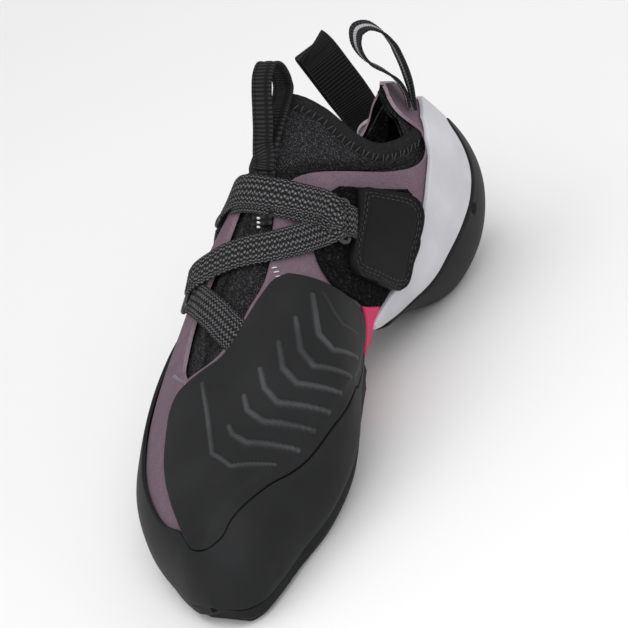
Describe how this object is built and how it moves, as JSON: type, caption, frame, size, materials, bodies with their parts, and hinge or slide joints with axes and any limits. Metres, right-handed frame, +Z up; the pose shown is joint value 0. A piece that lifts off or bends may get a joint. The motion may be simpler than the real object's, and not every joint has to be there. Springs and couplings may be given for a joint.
{
  "type": "climbing shoe",
  "caption": "Right climbing shoe with a downturned toe, rubber toe patch and heel rand, stretch sock collar, two elastic straps on wire rings with a hook tab, and pull loops at the collar and heel.",
  "frame": {"origin": "On the floor, at the middle of the heel's flat spot (mount heel_rest).", "axes": "+Y points to the toe, +Z up, -X to the medial side."},
  "size_m": [0.0933, 0.2318, 0.1268],
  "materials": {
    "mauve": "matt microfibre",
    "knit": "stretch knit",
    "board": "matt",
    "sole": "smooth matt",
    "rand": "smooth matt",
    "patch": "moulded matt",
    "white_rand": "satin",
    "cup": "satin",
    "arch": "satin",
    "pile": "loop pile",
    "tab": "satin",
    "webbing": "woven",
    "tape": "ribbed weave",
    "wire": "dark satin"
  },
  "bodies": {
    "root": {"upper": "mauve", "sock": "knit", "insole": "board", "outsole": "sole", "toe_rand": "rand", "toe_patch": "patch", "heel_rand": "white_rand", "heel_cup": "cup", "arch_rand": "arch", "loop_pad": "pile", "strap_tab": "tab", "strap_upper": "webbing", "strap_lower": "webbing", "strap_anchor": "webbing", "strap_lateral_anchor": "webbing", "ring_medial": "wire", "ring_lateral_upper": "wire", "ring_lateral_lower": "wire", "pull_loop_front": "tape", "pull_loop_heel_medial": "tape", "pull_loop_heel_lateral": "tape"}
  },
  "joints": []
}
